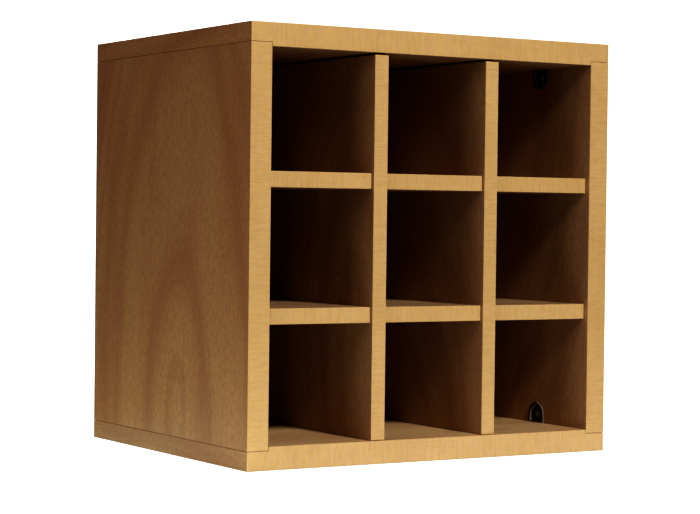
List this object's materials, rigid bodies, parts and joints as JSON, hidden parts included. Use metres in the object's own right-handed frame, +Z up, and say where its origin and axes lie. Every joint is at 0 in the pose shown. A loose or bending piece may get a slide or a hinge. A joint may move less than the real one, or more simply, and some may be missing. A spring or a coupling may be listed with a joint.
{
  "type": "wine rack",
  "caption": "Open-fronted cube wine rack: a wood-grain laminate carcass with an interlocking grid of dividers and shelves that makes square bottle cells.",
  "frame": {"origin": "centre of the underside of the bottom board, on the surface that the rack stands on", "axes": "+Z up, -Y out of the open front that the bottles go in by, +Y out of the closed back, +X to the right as seen from the front"},
  "size_m": [0.41, 0.335, 0.41],
  "materials": {
    "laminate": "satin wood-grain laminate on particleboard",
    "banding": "satin wood-grain edge band",
    "hardboard": "matt",
    "connector_plastic": "matt dark brown",
    "zinc": "zinc die-casting",
    "steel": "plated",
    "screw_steel": "plated"
  },
  "bodies": {
    "root": {"top_panel": "laminate", "bottom_panel": "laminate", "left_side_panel": "laminate", "right_side_panel": "laminate", "left_divider": "laminate", "right_divider": "laminate", "lower_shelf": "laminate", "upper_shelf": "laminate", "back_panel": "hardboard", "top_edge_band": "banding", "bottom_edge_band": "banding", "left_side_edge_band": "banding", "right_side_edge_band": "banding", "left_divider_edge_band": "banding", "right_divider_edge_band": "banding", "lower_shelf_edge_band_left": "banding", "lower_shelf_edge_band_middle": "banding", "lower_shelf_edge_band_right": "banding", "upper_shelf_edge_band_left": "banding", "upper_shelf_edge_band_middle": "banding", "upper_shelf_edge_band_right": "banding", "connector_housing_bottom_left_front": "connector_plastic", "connector_housing_bottom_left_rear": "connector_plastic", "connector_housing_bottom_right_front": "connector_plastic", "connector_housing_bottom_right_rear": "connector_plastic", "connector_housing_top_left_front": "connector_plastic", "connector_housing_top_left_rear": "connector_plastic", "connector_housing_top_right_front": "connector_plastic", "connector_housing_top_right_rear": "connector_plastic", "connector_cam_bottom_left_front": "zinc", "connector_cam_bottom_left_rear": "zinc", "connector_cam_bottom_right_front": "zinc", "connector_cam_bottom_right_rear": "zinc", "connector_cam_top_left_front": "zinc", "connector_cam_top_left_rear": "zinc", "connector_cam_top_right_front": "zinc", "connector_cam_top_right_rear": "zinc", "connector_bolt_bottom_left_front": "steel", "connector_bolt_bottom_left_rear": "steel", "connector_bolt_bottom_right_front": "steel", "connector_bolt_bottom_right_rear": "steel", "connector_bolt_top_left_front": "steel", "connector_bolt_top_left_rear": "steel", "connector_bolt_top_right_front": "steel", "connector_bolt_top_right_rear": "steel", "back_screw_bottom_left": "screw_steel", "back_screw_bottom_centre": "screw_steel", "back_screw_bottom_right": "screw_steel", "back_screw_top_left": "screw_steel", "back_screw_top_centre": "screw_steel", "back_screw_top_right": "screw_steel", "back_screw_middle_left": "screw_steel", "back_screw_middle_right": "screw_steel"}
  },
  "joints": []
}
